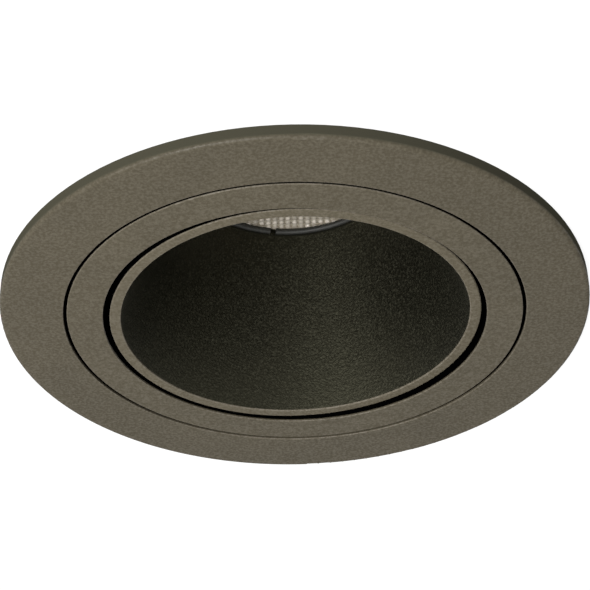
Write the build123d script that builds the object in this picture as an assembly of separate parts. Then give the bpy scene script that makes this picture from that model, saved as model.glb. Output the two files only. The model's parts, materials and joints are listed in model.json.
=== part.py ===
from build123d import *
from math import ceil, cos, degrees, hypot, pi, radians, sin, sqrt, tan
import os

# Recessed, adjustable ceiling spotlight. The origin is the centre of the ceiling plane, the
# flange lies below it and the light shines down. Millimetres and degrees.

# Clearances shared by all pieces
running_gap = 0.05
running_play = 0.05
seat_gap = 0.02

# Bezel: the flange under the ceiling and the collar in the ceiling's cut-out
collar_radius = 58.5
collar_wall = 3.1
collar_height = 12.0
flange_overlap = 9.0
flange_thickness = 3.2
flange_edge_radius = 0.9
gap_edge_radius = 0.25
ledge_width = 2.2

# Foam gasket let into the flange's back
gasket_collar_margin = 2.0
gasket_edge_margin = 2.5
gasket_thickness = 1.2

# Swivel ring, held on the bezel's ledge between two slide rings by a circlip
swivel_side_gap = 0.8
swivel_face_recess = 0.15
swivel_width = 8.2
swivel_flange_gap = 0.4
swivel_flange_thickness = 2.05
slide_ring_thickness = 0.5
slide_ring_side_gap = 0.2
circlip_thickness = 1.2
circlip_width = 2.3
circlip_groove_depth = 0.8
circlip_groove_play = 0.1
circlip_opening = 24.0
circlip_azimuth = 135.0
circlip_lug_length = 4.4
circlip_lug_reach = 0.6
circlip_hole_radius = 0.9

# Stops of the swivel: a pin in the collar and a tab on the ring
stop_azimuth = 45.0
stop_pin_radius = 1.5
stop_pin_sink = 0.3
stop_pin_clearance = 0.6
stop_tab_wall = 2.2
stop_tab_width = 4.0
stop_tab_height = 6.4
stop_tab_margin = 1.0
stop_overlap = 0.3

# Pivots of the head, on the Y axis
rest_tilt = 1.0
pivot_rise = 4.9
ear_inset = 0.4
ear_thickness = 2.4
ear_radius = 5.0
pivot_radius = 2.0
pivot_thread_radius = 1.5
pivot_thread_length = 4.0
pivot_head_radius = 3.4
pivot_head_height = 1.5
pivot_slot_width = 1.0
pivot_slot_depth = 0.7
pivot_washer_thickness = 1.1
pivot_washer_radius = 4.2
spring_washer_thickness = 0.55
spring_washer_radius = 3.6
boss_radius = 4.5

# Trim rim and the black cone above it
rim_gap = 1.35
rim_width = 2.5
rim_recess = 0.9
rim_lip_thickness = 0.35
rim_wall = 1.15
rim_height = 3.4
baffle_depth = 44.9
throat_radius = 26.4
baffle_wall = 1.8
neck_step = 0.1
neck_wall = 2.5
neck_height = 19.1
neck_flange_height = 10.0
neck_flange_width = 4.5

# Split snap ring and the lens that it holds in the neck
snap_wire_radius = 0.75
snap_groove_depth = 0.6
snap_overlap = 1.05
snap_split = 1.5
snap_split_azimuth = 100.5
lens_side_gap = 0.3
lens_edge_thickness = 2.0
lens_optic_inset = 2.7
lens_optic_height = 12.5
lens_top_radius = 8.5
lens_optic_bulge = 1.6
lens_pocket_radius = 5.6
lens_pocket_depth = 5.0
lens_gasket_thickness = 1.5
holder_wall = 2.2

# Lamp: emitter, board, pad and clamp on the heat sink
spigot_height = 5.0
spigot_wall = 2.8
thermal_pad_thickness = 0.3
board_side = 19.0
board_thickness = 1.0
emitter_radius = 4.6
emitter_height = 0.5
clamp_length = 38.0
clamp_width = 21.8
clamp_lip = 1.6
clamp_hole_radius = 9.4
clamp_pocket_gap = 0.1
clamp_corner_radius = 6.0
clamp_screw_radius = 1.25
clamp_screw_head_radius = 2.3
clamp_screw_head_height = 1.3
clamp_screw_depth = 3.0
clamp_screw_offset = 14.6

# Heat sink
sink_base = 4.0
sink_core_radius = 9.5
sink_height = 32.0
fin_count = 18
fin_thickness = 1.5
fin_chamfer = 3.0
fin_root_depth = 1.2
ring_seal_width = 1.4
ring_seal_height = 1.7
ring_seal_play = 0.1
sink_screw_radius = 1.25
sink_screw_inset = 2.4
sink_screw_depth = 6.5
sink_screw_head_radius = 2.2
sink_screw_head_height = 2.2
sink_screw_count = 3
hex_socket_width = 2.0
hex_socket_depth = 1.2

# Cable gland on the heat sink's base, in a wider gap between two fins
gland_azimuth = 90.0
gland_offset = 17.0
gland_thread_radius = 4.6
gland_bore_radius = 3.9
gland_flats = 12.0
gland_hex_height = 3.5
gland_neck_radius = 4.9
gland_neck_height = 7.0
gland_nut_height = 10.5
gland_nut_wall = 0.9
gland_nut_gap = 0.4
gland_nut_chamfer = 1.2
cable_hole_radius = 3.1
gland_throat_radius = 3.5
gland_seal_length = 8.0

# Ceiling clips at both ends of the X axis
clip_seat_width = 24.0
clip_seat_sink = 5.5
clip_seat_bottom = 6.5
bracket_sheet = 1.0
bracket_width = 19.0
bracket_side_gap = 0.7
bracket_bottom_gap = 0.2
bracket_ear_bottom_gap = 0.5
bracket_ear_radius = 3.2
bracket_depth_to_collar = 1.5
rivet_radius = 1.2
rivet_head_radius = 2.0
rivet_head_height = 0.8
rivet_spread = 11.0
rivet_height = 9.2
clip_rise = 7.0
clip_pin_radius = 1.5
clip_pin_head_radius = 2.3
clip_pin_head_height = 0.8
clip_slope = 15.0
clip_sheet = 1.2
clip_reach = 29.0
clip_root = 4.8
clip_side_gap = 0.3
clip_cheek_sheet = 1.0
clip_cheek_length = 13.0
clip_taper_start = 14.0
clip_tip_width = 12.0
clip_tip_radius = 3.0
clip_stop_gap = 0.15
sleeve_length = 9.5
sleeve_wall = 0.6
spring_wire = 1.2
spring_coil_radius = 2.4
spring_pitch = 1.9
spring_whole_turns = 3
spring_tail = 14.0
spring_leaf_gap = 0.05
spring_fixed_tail_gap = 0.2

# Radii that follow from the collar, from the outside in
flange_radius = collar_radius + flange_overlap
collar_bore = collar_radius - collar_wall
opening_radius = collar_bore - ledge_width
swivel_radius = opening_radius - swivel_side_gap
swivel_bore = swivel_radius - swivel_width
swivel_flange_radius = collar_bore - swivel_flange_gap
rim_radius = swivel_bore - rim_gap
mouth_radius = rim_radius - rim_width
gasket_inner = collar_radius + gasket_collar_margin
gasket_outer = flange_radius - gasket_edge_margin
slide_ring_inner = opening_radius + slide_ring_side_gap
slide_ring_outer = collar_bore - slide_ring_side_gap
stop_tab_outer = opening_radius - stop_tab_margin

# Heights of the flange, the swivel ring and what holds it
face_z = -flange_thickness
swivel_flange_bottom = slide_ring_thickness + running_gap
swivel_top = swivel_flange_bottom + swivel_flange_thickness
upper_slide_bottom = swivel_top + running_gap
circlip_bottom = upper_slide_bottom + slide_ring_thickness + running_gap
circlip_top = circlip_bottom + circlip_thickness
pivot_z = swivel_top + pivot_rise

# Places along the pivot axis, from the boss outwards
ear_face = swivel_bore + ear_inset
boss_face = ear_face - pivot_washer_thickness - 2 * running_gap
ear_back = ear_face + ear_thickness
spring_washer_face = ear_back + running_gap
pivot_head_face = spring_washer_face + spring_washer_thickness + running_gap
pivot_end = pivot_head_face + pivot_head_height
stop_pin_inner = hypot(pivot_end, pivot_head_radius) + stop_pin_clearance
stop_pin_z = swivel_top + stop_tab_height - stop_pin_radius - stop_overlap

# Heights and slope of the cone, with the head straight
rim_z = face_z + rim_recess
throat_z = rim_z + baffle_depth
baffle_bottom = rim_z + rim_lip_thickness
cone_slope = (mouth_radius - throat_radius) / baffle_depth
cone_wall_across = baffle_wall * sqrt(1 + cone_slope**2)
rim_bore = rim_radius - rim_wall
baffle_foot_radius = rim_bore - running_gap

# Stack in the neck, from the snap ring up to the heat sink
snap_groove_radius = throat_radius + snap_groove_depth
snap_ring_radius = throat_radius - snap_overlap + snap_wire_radius
snap_ring_z = throat_z + running_gap + snap_wire_radius
lens_z = snap_ring_z + snap_wire_radius + running_gap
neck_bore = throat_radius + neck_step
lens_radius = neck_bore - lens_side_gap
neck_radius = neck_bore + neck_wall
lens_edge_top = lens_z + lens_edge_thickness
lens_gasket_top = lens_edge_top + lens_gasket_thickness
sink_z = throat_z + neck_height
spigot_bottom = sink_z - spigot_height
spigot_radius = neck_bore - seat_gap - running_gap
sink_radius = neck_bore + neck_flange_width
ring_seal_inner = spigot_radius - ring_seal_width
ring_seal_bottom = sink_z - spigot_height / 2 - ring_seal_height / 2
ring_seal_top = ring_seal_bottom + ring_seal_height
holder_bore = lens_radius - holder_wall
board_top = sink_z - thermal_pad_thickness
board_bottom = board_top - board_thickness
emitter_bottom = board_bottom - emitter_height
clamp_bottom = board_bottom - clamp_lip
sink_base_top = sink_z + sink_base
sink_top = sink_z + sink_height
sink_screw_circle = sink_radius - sink_screw_inset
fin_step = 360 / fin_count
fin_turns = [gland_azimuth + fin_step * (number + 0.5) for number in range(1, fin_count - 1)]
fin_root_radius = sink_core_radius - fin_root_depth
gland_hex_top = sink_base_top + gland_hex_height
gland_neck_top = gland_hex_top + gland_neck_height
gland_seal_bottom = gland_neck_top - gland_seal_length + gland_nut_gap
first_screw_turn = gland_azimuth + fin_step * 3
sink_screw_step = 360 / sink_screw_count
sink_screw_turns = [first_screw_turn + sink_screw_step * number for number in range(sink_screw_count)]

# Places of a ceiling clip, on the +X side
bracket_x = collar_radius - bracket_sheet - bracket_depth_to_collar
clip_seat_x = collar_radius - clip_seat_sink
clip_axis_x = bracket_x - spring_coil_radius - spring_wire / 2 - seat_gap
clip_axis_z = collar_height + clip_rise
bracket_ear_face = bracket_width / 2 - bracket_sheet
clip_half_width = bracket_ear_face - clip_side_gap
leaf_top = -spring_coil_radius - spring_wire / 2 - spring_leaf_gap
leaf_bottom = leaf_top - clip_sheet
bracket_back_x = bracket_x + bracket_sheet
rivet_dome_radius = (rivet_head_radius**2 + rivet_head_height**2) / (2 * rivet_head_height)
leaf_drop_at_bracket = (
    -leaf_bottom / cos(radians(clip_slope)) + (bracket_back_x - clip_axis_x) * tan(radians(clip_slope))
)
bracket_stop_z = clip_axis_z - leaf_drop_at_bracket - clip_stop_gap


def rod(radius, bottom, top):
    """Upright cylinder on the Z axis between two heights."""
    return Pos(0, 0, bottom) * Cylinder(radius, top - bottom, align=(Align.CENTER, Align.CENTER, Align.MIN))


def ring(inner, outer, bottom, top):
    """Flat ring on the Z axis."""
    return rod(outer, bottom, top) - rod(inner, bottom, top)


def block(x_span, y_span, z_span):
    """Box between two values on each axis."""
    size = [span[1] - span[0] for span in (x_span, y_span, z_span)]
    return Pos(x_span[0], y_span[0], z_span[0]) * Box(*size, align=(Align.MIN, Align.MIN, Align.MIN))


def turned(points, radii=0):
    """Solid of revolution about Z from (radius, height) corners, each with its own rounding."""
    outline = FilletPolyline(*points, radius=radii, close=True)
    return revolve(Plane.XZ * make_face(outline), Axis.Z)


def along_x(radius, start, end):
    """Cylinder on the X axis."""
    return Rot(0, 90, 0) * rod(radius, start, end)


def along_y(radius, start, end):
    """Cylinder on the Y axis."""
    return Rot(-90, 0, 0) * rod(radius, start, end)


def group(shapes):
    """Several shapes as separate solids in one piece."""
    return Compound([solid for shape in shapes for solid in shape.solids()])


def both_ends(shape):
    """The shape and its twin half a turn round Z, as separate solids."""
    return group([shape, Rot(0, 0, 180) * shape])


def hexagon(flats, bottom, top):
    """Upright hexagonal prism on the Z axis."""
    outline = RegularPolygon(flats / 2, 6, major_radius=False)
    return extrude(Pos(0, 0, bottom) * outline, top - bottom)


def cone_radius(height):
    """Inside radius of the black cone at a height."""
    return mouth_radius - cone_slope * (height - rim_z)


def head(shape):
    """A piece of the head, tilted from straight to the pose at rest."""
    return Pos(0, 0, pivot_z) * Rot(0, -rest_tilt, 0) * Pos(0, 0, -pivot_z) * shape


def on_clip_leaf(shape):
    """A shape from the clip's own frame (X along the leaf, Z off it) in its place at +X."""
    return Pos(clip_axis_x, 0, clip_axis_z) * Rot(0, clip_slope, 0) * shape


def left_side(shape):
    """The twin of a +X piece on the -X side."""
    return Rot(0, 0, 180) * shape


def make_bezel():
    """Cast flange with the collar behind it, the ledge inside and seats for two clips."""
    body = turned(
        [
            (opening_radius, face_z),
            (flange_radius, face_z),
            (flange_radius, 0),
            (collar_radius, 0),
            (collar_radius, collar_height),
            (collar_bore, collar_height),
            (collar_bore, 0),
            (opening_radius, 0),
        ],
        [gap_edge_radius, flange_edge_radius, 0, 0, 0, 0, 0, 0],
    )
    body -= ring(gasket_inner, gasket_outer, -gasket_thickness, 0)
    groove_bottom = circlip_bottom - circlip_groove_play / 2
    groove_top = circlip_top + circlip_groove_play / 2
    groove_radius = collar_bore + circlip_groove_depth
    body -= ring(opening_radius, groove_radius, groove_bottom, groove_top)
    half_seat = clip_seat_width / 2
    pocket_half = bracket_width / 2 + bracket_side_gap
    seat = block((clip_seat_x, collar_radius), (-half_seat, half_seat), (clip_seat_bottom, collar_height))
    seat &= rod(collar_radius, clip_seat_bottom, collar_height)
    pocket_bottom = clip_seat_bottom - bracket_bottom_gap
    pocket = block((bracket_x, flange_radius), (-pocket_half, pocket_half), (pocket_bottom, collar_height))
    for turn in (0, 180):
        body += Rot(0, 0, turn) * seat
    for turn in (0, 180):
        body -= Rot(0, 0, turn) * pocket
        for side in (-1, 1):
            hole = along_x(rivet_radius + seat_gap, clip_seat_x, bracket_x)
            body -= Rot(0, 0, turn) * Pos(0, side * rivet_spread / 2, rivet_height) * hole
    pin_hole = along_x(stop_pin_radius + seat_gap, opening_radius, collar_radius)
    body -= Rot(0, 0, stop_azimuth) * Pos(0, 0, stop_pin_z) * pin_hole
    return body


def make_circlip():
    """Internal circlip: a flat open ring with two drilled lugs."""
    outer = collar_bore + circlip_groove_depth - circlip_groove_play
    inner = outer - circlip_width
    clip = ring(inner, outer, circlip_bottom, circlip_top)
    reach = outer + circlip_width
    half = radians(circlip_opening / 2)
    wedge = Polyline((0, 0), (reach, -reach * tan(half)), (reach, reach * tan(half)), close=True)
    clip -= extrude(Pos(0, 0, circlip_bottom) * make_face(wedge), circlip_thickness)
    lug_inner = inner - circlip_lug_reach
    middle = (lug_inner + outer) / 2
    half_lug = circlip_lug_length / 2
    for side in (-1, 1):
        turn = side * (circlip_opening / 2 + degrees(half_lug / middle))
        lug = block((lug_inner, middle), (-half_lug, half_lug), (circlip_bottom, circlip_top))
        clip += Rot(0, 0, turn) * lug
        hole = Pos(middle, 0, 0) * rod(circlip_hole_radius, circlip_bottom, circlip_top)
        clip -= Rot(0, 0, turn) * hole
    return Rot(0, 0, circlip_azimuth) * clip


def make_swivel_ring():
    """Flush ring that turns in the bezel, with two ears for the head and a stop tab."""
    body = turned(
        [
            (swivel_bore, face_z + swivel_face_recess),
            (swivel_radius, face_z + swivel_face_recess),
            (swivel_radius, swivel_flange_bottom),
            (swivel_flange_radius, swivel_flange_bottom),
            (swivel_flange_radius, swivel_top),
            (swivel_bore, swivel_top),
        ],
        [gap_edge_radius, gap_edge_radius, 0, 0, 0, 0],
    )
    foot = block((-ear_radius, ear_radius), (ear_face, ear_back), (swivel_top, pivot_z))
    ear = foot + Pos(0, 0, pivot_z) * along_y(ear_radius, ear_face, ear_back)
    ear -= Pos(0, 0, pivot_z) * along_y(pivot_radius + running_play, ear_face, ear_back)
    for turn in (0, 180):
        body += Rot(0, 0, turn) * ear
    half_tab = stop_tab_width / 2
    tab_inner = stop_tab_outer - stop_tab_wall
    tab_top = swivel_top + stop_tab_height
    tab = block((tab_inner, stop_tab_outer), (-half_tab, half_tab), (swivel_top, tab_top))
    tab &= rod(stop_tab_outer, swivel_top, tab_top)
    return body + Rot(0, 0, stop_azimuth + 180) * tab


def make_clip_bracket():
    """U of sheet metal at +X: a plate in the collar's pocket and two ears for the clip's pin."""
    half = bracket_width / 2
    plate = block((bracket_x, bracket_back_x), (-half, half), (clip_seat_bottom, bracket_stop_z))
    ear_bottom = collar_height + bracket_ear_bottom_gap
    ear_outline = make_face(
        Polyline(
            (bracket_x, ear_bottom),
            (bracket_back_x, ear_bottom),
            (bracket_back_x, clip_axis_z),
            (clip_axis_x + bracket_ear_radius, clip_axis_z),
            (clip_axis_x - bracket_ear_radius, clip_axis_z),
            (clip_axis_x - bracket_ear_radius, ear_bottom),
            close=True,
        )
    )
    eye = Pos(clip_axis_x, clip_axis_z) * Circle(bracket_ear_radius)
    hole = Pos(clip_axis_x, clip_axis_z) * Circle(clip_pin_radius + seat_gap)
    ear = extrude(Plane.XZ * (ear_outline + eye - hole), bracket_sheet)
    bracket = plate + Pos(0, half, 0) * ear + Pos(0, -bracket_ear_face, 0) * ear
    for side in (-1, 1):
        drill = along_x(rivet_radius + running_play, bracket_x, bracket_back_x)
        bracket -= Pos(0, side * rivet_spread / 2, rivet_height) * drill
    return bracket


def make_clip_rivets():
    """Four rivets that hold the brackets on the collar's seats."""
    head_top = bracket_back_x + rivet_head_height
    corners = Polyline(
        (0, head_top),
        (0, clip_seat_x),
        (rivet_radius, clip_seat_x),
        (rivet_radius, bracket_back_x),
        (rivet_head_radius, bracket_back_x),
    )
    dome = RadiusArc((rivet_head_radius, bracket_back_x), (0, head_top), -rivet_dome_radius)
    rivet = Rot(0, 90, 0) * revolve(Plane.XZ * make_face(corners + dome), Axis.Z)
    places = [Pos(0, side * rivet_spread / 2, rivet_height) * rivet for side in (-1, 1)]
    return both_ends(group(places))


def make_clip_pin():
    """Headed hinge pin of the +X clip."""
    half = bracket_width / 2
    pin = along_y(clip_pin_radius, -half, half)
    pin += along_y(clip_pin_head_radius, half, half + clip_pin_head_height)
    pin += along_y(clip_pin_head_radius, -half - clip_pin_head_height, -half)
    return Pos(clip_axis_x, 0, clip_axis_z) * pin


def clip_leaf():
    """Tapering leaf of a clip arm, in the clip's own frame."""
    half_tip = clip_tip_width / 2
    corners = [
        (clip_root, -clip_half_width),
        (clip_taper_start, -clip_half_width),
        (clip_reach, -half_tip),
        (clip_reach, half_tip),
        (clip_taper_start, clip_half_width),
        (clip_root, clip_half_width),
    ]
    outline = FilletPolyline(*corners, radius=[0, 0, clip_tip_radius, clip_tip_radius, 0, 0], close=True)
    return extrude(Pos(0, 0, leaf_bottom) * make_face(outline), clip_sheet)


def make_clip_arm():
    """Clip arm at +X: a sheet leaf with two upturned cheeks on the hinge pin."""
    cheek_outline = make_face(
        Polyline(
            (0, leaf_bottom),
            (clip_cheek_length, leaf_bottom),
            (clip_cheek_length, leaf_top),
            (-leaf_bottom, 0),
            (0, 0),
            close=True,
        )
    )
    cheek_outline += Circle(-leaf_bottom)
    cheek_outline -= Circle(clip_pin_radius + running_play)
    cheek = extrude(Plane.XZ * cheek_outline, clip_cheek_sheet)
    arm = clip_leaf()
    arm += Pos(0, clip_half_width, 0) * cheek
    arm += Pos(0, clip_cheek_sheet - clip_half_width, 0) * cheek
    return on_clip_leaf(arm)


def make_clip_sleeve():
    """Soft sleeve on the tip of the +X clip arm."""
    half = clip_tip_width / 2 + taper_rise(sleeve_length) + sleeve_wall
    half_end = clip_tip_width / 2 + sleeve_wall
    start = clip_reach - sleeve_length
    end = clip_reach + sleeve_wall
    corners = [(start, -half), (end, -half_end), (end, half_end), (start, half)]
    corner = clip_tip_radius + sleeve_wall
    outline = FilletPolyline(*corners, radius=[0, corner, corner, 0], close=True)
    sleeve_bottom = Pos(0, 0, leaf_bottom - sleeve_wall)
    sleeve = extrude(sleeve_bottom * make_face(outline), clip_sheet + 2 * sleeve_wall)
    return on_clip_leaf(sleeve - clip_leaf())


def taper_rise(distance):
    """How much wider half the leaf is at a distance back from its tip."""
    return distance * (clip_half_width - clip_tip_width / 2) / (clip_reach - clip_taper_start)


def biarc(start, start_way, end, end_way):
    """Two tangent arcs between two points with given directions."""
    across = end - start
    ways = start_way + end_way
    spread = 2 * (1 - start_way.dot(end_way))
    slant = across.dot(ways)
    reach = (sqrt(slant**2 + spread * across.dot(across)) - slant) / spread
    joint = (start + end + (start_way - end_way) * reach) * 0.5
    first = Edge.make_tangent_arc(start, start_way, joint)
    return [first, Edge.make_tangent_arc(joint, first % 1, end)]


def spring_path():
    """Centre line of the +X torsion spring: a fixed tail, the coil, and a tail on the leaf."""
    turn_end = 360 * spring_whole_turns + 270 - clip_slope
    steps = ceil(turn_end / 90)
    start_y = -spring_pitch * turn_end / 720
    points = []
    ways = []
    for step in range(steps + 1):
        angle = radians(turn_end * step / steps)
        x = clip_axis_x + spring_coil_radius * cos(angle)
        z = clip_axis_z + spring_coil_radius * sin(angle)
        points.append(Vector(x, start_y + spring_pitch * angle / (2 * pi), z))
        rise = 0 if step in (0, steps) else spring_pitch / (2 * pi)
        way = Vector(-spring_coil_radius * sin(angle), rise, spring_coil_radius * cos(angle))
        ways.append(way.normalized())
    foot = Vector(points[0].X, points[0].Y, collar_height + spring_fixed_tail_gap)
    edges = [Edge.make_line(foot, points[0])]
    for step in range(steps):
        edges += biarc(points[step], ways[step], points[step + 1], ways[step + 1])
    edges.append(Edge.make_line(points[-1], points[-1] + ways[-1] * spring_tail))
    return Wire(edges)


def least_gap(path):
    """Least gap between separate turns of the spring, measured on points of its centre line."""
    count = ceil(path.length / (spring_wire / 4))
    points = [path @ (step / count) for step in range(count + 1)]
    apart = ceil(pi * spring_coil_radius / (path.length / count))
    spans = [
        (points[far] - points[near]).length
        for near in range(len(points))
        for far in range(near + apart, len(points))
    ]
    return min(spans) - spring_wire


def make_clip_spring():
    """Wound torsion spring of the +X clip."""
    path = spring_path()
    section = Plane(origin=path @ 0, z_dir=path % 0) * Circle(spring_wire / 2)
    return sweep(section, path)


def make_trim_rim():
    """Bronze rim pressed over the foot of the cone."""
    return turned(
        [
            (mouth_radius, rim_z),
            (rim_radius, rim_z),
            (rim_radius, rim_z + rim_height),
            (rim_bore, rim_z + rim_height),
            (rim_bore, baffle_bottom),
            (cone_radius(baffle_bottom), baffle_bottom),
        ],
        [gap_edge_radius, gap_edge_radius, 0, 0, 0, 0],
    )


def make_baffle_cone():
    """Black cone with the neck for lens and lamp above it and two pivot bosses."""
    cone_start = rim_z + rim_height + running_gap
    neck_start = rim_z + (mouth_radius + cone_wall_across - neck_radius) / cone_slope
    flange_start = sink_z - neck_flange_height
    outside = turned(
        [
            (0, baffle_bottom),
            (baffle_foot_radius, baffle_bottom),
            (baffle_foot_radius, cone_start),
            (cone_radius(cone_start) + cone_wall_across, cone_start),
            (neck_radius, neck_start),
            (neck_radius, flange_start - neck_flange_width + neck_wall),
            (sink_radius, flange_start),
            (sink_radius, sink_z),
            (0, sink_z),
        ]
    )
    for side in (0, 180):
        boss = Pos(0, 0, pivot_z) * along_y(boss_radius, throat_radius, boss_face)
        outside += Rot(0, 0, side) * boss
    inside = turned(
        [
            (0, baffle_bottom),
            (cone_radius(baffle_bottom), baffle_bottom),
            (throat_radius, throat_z),
            (snap_groove_radius, throat_z),
            (snap_groove_radius, lens_z),
            (neck_bore, lens_z),
            (neck_bore, sink_z),
            (0, sink_z),
        ]
    )
    body = outside - inside
    thread_end = boss_face - pivot_thread_length - seat_gap
    for side in (0, 180):
        thread = along_y(pivot_thread_radius + seat_gap, thread_end, boss_face)
        body -= Rot(0, 0, side) * Pos(0, 0, pivot_z) * thread
    for turn in sink_screw_turns:
        hole = rod(sink_screw_radius + seat_gap, sink_z - sink_screw_depth - seat_gap, sink_z)
        body -= Rot(0, 0, turn) * Pos(sink_screw_circle, 0, 0) * hole
    return body


def make_pivot_screw():
    """Shoulder screw of the +Y pivot, with a slotted head."""
    screw = along_y(pivot_thread_radius, boss_face - pivot_thread_length, boss_face)
    screw += along_y(pivot_radius, boss_face, pivot_head_face)
    screw += along_y(pivot_head_radius, pivot_head_face, pivot_end)
    half_slot = pivot_slot_width / 2
    slot_floor = pivot_end - pivot_slot_depth
    across = (-pivot_head_radius, pivot_head_radius)
    screw -= block(across, (slot_floor, pivot_end), (-half_slot, half_slot))
    return Pos(0, 0, pivot_z) * screw


def make_pivot_washer(radius, face, thickness):
    """Plain washer on the shoulder of the +Y pivot screw."""
    washer = along_y(radius, face, face + thickness)
    washer -= along_y(pivot_radius + running_play, face, face + thickness)
    return Pos(0, 0, pivot_z) * washer


def make_snap_ring():
    """Split wire ring in the groove at the cone's throat."""
    split = degrees(snap_split / snap_ring_radius)
    section = Plane.XZ * Pos(snap_ring_radius, snap_ring_z) * Circle(snap_wire_radius)
    wire = revolve(section, Axis.Z, revolution_arc=360 - split)
    return Rot(0, 0, snap_split_azimuth + split / 2) * wire


def make_lens():
    """Moulded optic: a flat edge on the snap ring and a collecting body with a lamp pocket."""
    optic_foot = lens_radius - lens_optic_inset
    optic_top = lens_edge_top + lens_optic_height
    middle = (
        (optic_foot + lens_top_radius) / 2 + lens_optic_bulge,
        lens_edge_top + lens_optic_height / 2 + lens_optic_bulge,
    )
    profile = Polyline(
        (lens_top_radius, optic_top),
        (lens_pocket_radius, optic_top),
        (lens_pocket_radius, optic_top - lens_pocket_depth),
        (0, optic_top - lens_pocket_depth),
        (0, lens_z),
        (lens_radius, lens_z),
        (lens_radius, lens_edge_top),
        (optic_foot, lens_edge_top),
    )
    wall = ThreePointArc((optic_foot, lens_edge_top), middle, (lens_top_radius, optic_top))
    return revolve(Plane.XZ * make_face(profile + wall), Axis.Z)


def make_led_clamp():
    """Plastic clamp over the board's corners, with a hole for the emitter and the optic."""
    outline = RectangleRounded(clamp_length, clamp_width, clamp_corner_radius)
    clamp = extrude(Pos(0, 0, clamp_bottom) * outline, sink_z - clamp_bottom)
    pocket = board_side / 2 + clamp_pocket_gap
    clamp -= block((-pocket, pocket), (-pocket, pocket), (board_bottom, sink_z))
    clamp -= rod(clamp_hole_radius, clamp_bottom, board_bottom)
    for side in (-1, 1):
        place = Pos(side * clamp_screw_offset, 0, 0)
        clamp -= place * rod(clamp_screw_radius + running_play, clamp_bottom, sink_z)
        sink_floor = clamp_bottom + clamp_screw_head_height
        clamp -= place * rod(clamp_screw_head_radius + running_play, clamp_bottom, sink_floor)
    return clamp


def make_led_clamp_screws():
    """Two screws that pull the clamp against the heat sink, heads sunk in the clamp."""
    screw = rod(clamp_screw_head_radius, clamp_bottom, clamp_bottom + clamp_screw_head_height)
    screw += rod(clamp_screw_radius, clamp_bottom + clamp_screw_head_height, sink_z + clamp_screw_depth)
    screw -= hexagon(hex_socket_width, clamp_bottom, clamp_bottom + hex_socket_depth)
    return group([Pos(side * clamp_screw_offset, 0, 0) * screw for side in (-1, 1)])


def make_heat_sink():
    """Cast body of the heat sink: a base with a sealed spigot and a core slotted for the fins."""
    body = rod(sink_radius, sink_z, sink_base_top)
    body += rod(sink_core_radius, sink_base_top, sink_top)
    half_slot = fin_thickness / 2 + seat_gap
    slot_floor = fin_root_radius - seat_gap
    slot = block((slot_floor, sink_core_radius), (-half_slot, half_slot), (sink_base_top, sink_top))
    for turn in fin_turns:
        body -= Rot(0, 0, turn) * slot
    spigot = ring(spigot_radius - spigot_wall, spigot_radius, spigot_bottom, sink_z)
    spigot -= ring(ring_seal_inner, spigot_radius, ring_seal_bottom, ring_seal_top)
    body += spigot
    for turn in sink_screw_turns:
        hole = rod(sink_screw_radius + running_play, sink_z, sink_base_top)
        body -= Rot(0, 0, turn) * Pos(sink_screw_circle, 0, 0) * hole
    for side in (-1, 1):
        hole = rod(clamp_screw_radius + seat_gap, sink_z, sink_z + clamp_screw_depth + seat_gap)
        body -= Pos(side * clamp_screw_offset, 0, 0) * hole
    return body - at_gland(rod(gland_thread_radius + seat_gap, sink_z, sink_base_top))


def make_heat_sink_fins():
    """Stamped fins, pressed into the core's slots and standing on the base."""
    outline = make_face(
        Polyline(
            (fin_root_radius, sink_base_top),
            (sink_radius, sink_base_top),
            (sink_radius, sink_top - fin_chamfer),
            (sink_radius - fin_chamfer, sink_top),
            (fin_root_radius, sink_top),
            close=True,
        )
    )
    fin = Pos(0, fin_thickness / 2, 0) * extrude(Plane.XZ * outline, fin_thickness)
    fin &= rod(sink_radius, sink_base_top, sink_top)
    return group([Rot(0, 0, turn) * fin for turn in fin_turns])


def make_heat_sink_screws():
    """Cap screws between the fins, from the base into the neck's flange."""
    top = sink_base_top + sink_screw_head_height
    screw = rod(sink_screw_radius, sink_z - sink_screw_depth, sink_base_top)
    screw += rod(sink_screw_head_radius, sink_base_top, top)
    screw -= hexagon(hex_socket_width, top - hex_socket_depth, top)
    return group([Rot(0, 0, turn) * Pos(sink_screw_circle, 0, 0) * screw for turn in sink_screw_turns])


def at_gland(shape):
    """A shape on the Z axis, moved to the gland's place on the heat sink."""
    return Rot(0, 0, gland_azimuth) * Pos(gland_offset, 0, 0) * shape


def make_gland_body():
    """Nylon gland: a thread in the base, a hexagon and a neck with the seal inside."""
    body = rod(gland_thread_radius, sink_z, sink_base_top)
    body += hexagon(gland_flats, sink_base_top, gland_hex_top)
    body += rod(gland_neck_radius, gland_hex_top, gland_neck_top)
    body -= rod(gland_throat_radius, sink_z, gland_seal_bottom)
    return at_gland(body - rod(gland_bore_radius, gland_seal_bottom, gland_neck_top))


def make_gland_seal():
    """Rubber sleeve that closes round the cable."""
    outer = gland_bore_radius - seat_gap
    top = gland_seal_bottom + gland_seal_length
    return at_gland(ring(cable_hole_radius, outer, gland_seal_bottom, top))


def make_gland_nut():
    """Domed nut over the gland's neck and seal."""
    bottom = gland_hex_top + gland_nut_gap
    top = bottom + gland_nut_height
    inner = gland_neck_radius + running_gap
    nut = hexagon(gland_flats, bottom, top)
    dome_reach = gland_flats / 2 / cos(pi / 6)
    nut &= turned(
        [
            (0, bottom),
            (dome_reach, bottom),
            (dome_reach, top - 2 * gland_nut_chamfer),
            (inner, top),
            (0, top),
        ]
    )
    nut -= rod(inner, bottom, top - gland_nut_wall)
    return at_gland(nut - rod(gland_bore_radius, bottom, top))


# Pieces that are made once and used in pairs

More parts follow.
